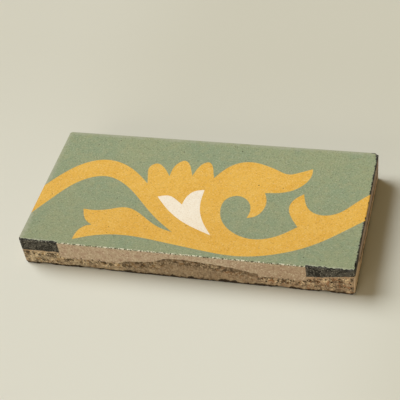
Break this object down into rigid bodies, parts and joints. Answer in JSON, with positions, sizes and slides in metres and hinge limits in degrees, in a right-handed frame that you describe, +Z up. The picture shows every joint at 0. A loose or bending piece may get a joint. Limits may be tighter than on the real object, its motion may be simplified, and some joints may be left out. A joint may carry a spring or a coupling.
{
  "type": "border tile",
  "caption": "Flat rectangular cement border tile with a scroll and heart inlaid flush in its matte face, and a broken front edge.",
  "frame": {"origin": "middle of the flat underside", "axes": "+X along the border, +Y across it towards the back, +Z up out of the inlaid face"},
  "size_m": [0.18, 0.09, 0.018],
  "materials": {
    "pressed_cement": "matte pressed cement, sage green ground with ochre and cream inlay, grey and brown edges"
  },
  "bodies": {
    "root": {"border_tile": "pressed_cement"}
  },
  "joints": []
}
